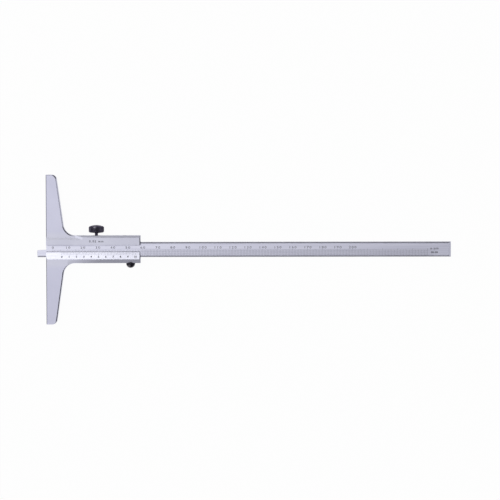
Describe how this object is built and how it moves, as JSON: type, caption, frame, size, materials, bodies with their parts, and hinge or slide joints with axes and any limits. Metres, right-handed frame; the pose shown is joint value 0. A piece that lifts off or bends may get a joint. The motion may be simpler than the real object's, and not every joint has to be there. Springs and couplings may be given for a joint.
{
  "type": "depth caliper",
  "caption": "Vernier depth caliper: a flat graduated beam slides through a T-shaped base with a vernier window, a knurled clamp screw and a domed thumb button.",
  "frame": {"origin": "on the measuring face of the base, on the centreline of the beam, at the back plane of the slider", "axes": "+X along the beam away from the work, +Y towards the clamp screw, +Z out of the graduated front"},
  "size_m": [0.276, 0.1, 0.0102],
  "materials": {
    "satin_steel": "fine satin ground stainless steel",
    "ground_steel": "ground stainless steel with engraved graduations",
    "bronze": "rolled phosphor bronze",
    "brass": "turned brass",
    "black_steel": "blackened steel"
  },
  "bodies": {
    "slider": {"slider_body": "satin_steel", "gib": "bronze", "gib_screws": "black_steel", "thumb_button": "black_steel"},
    "beam": {"beam": "ground_steel"},
    "clamp_pad": {"clamp_pad": "brass"},
    "clamp_screw": {"clamp_screw": "black_steel"}
  },
  "joints": [
    {"name": "beam_slide", "type": "slide", "parent": "slider", "child": "beam", "axis": [-1, 0, 0], "range_m": [-0.006, 0.194]},
    {"name": "clamp_travel", "type": "slide", "parent": "slider", "child": "clamp_pad", "axis": [0, 1, 0], "range_m": [0, 0.000675]},
    {"name": "clamp_turn", "type": "hinge", "parent": "clamp_pad", "child": "clamp_screw", "pos_m": [0.0334, 0.01, 0.00358], "axis": [0, 1, 0], "range_deg": [0, 540]}
  ],
  "couplings": [
    {"joint": "clamp_turn", "follows": "clamp_travel", "rad_per_m": 13963}
  ]
}
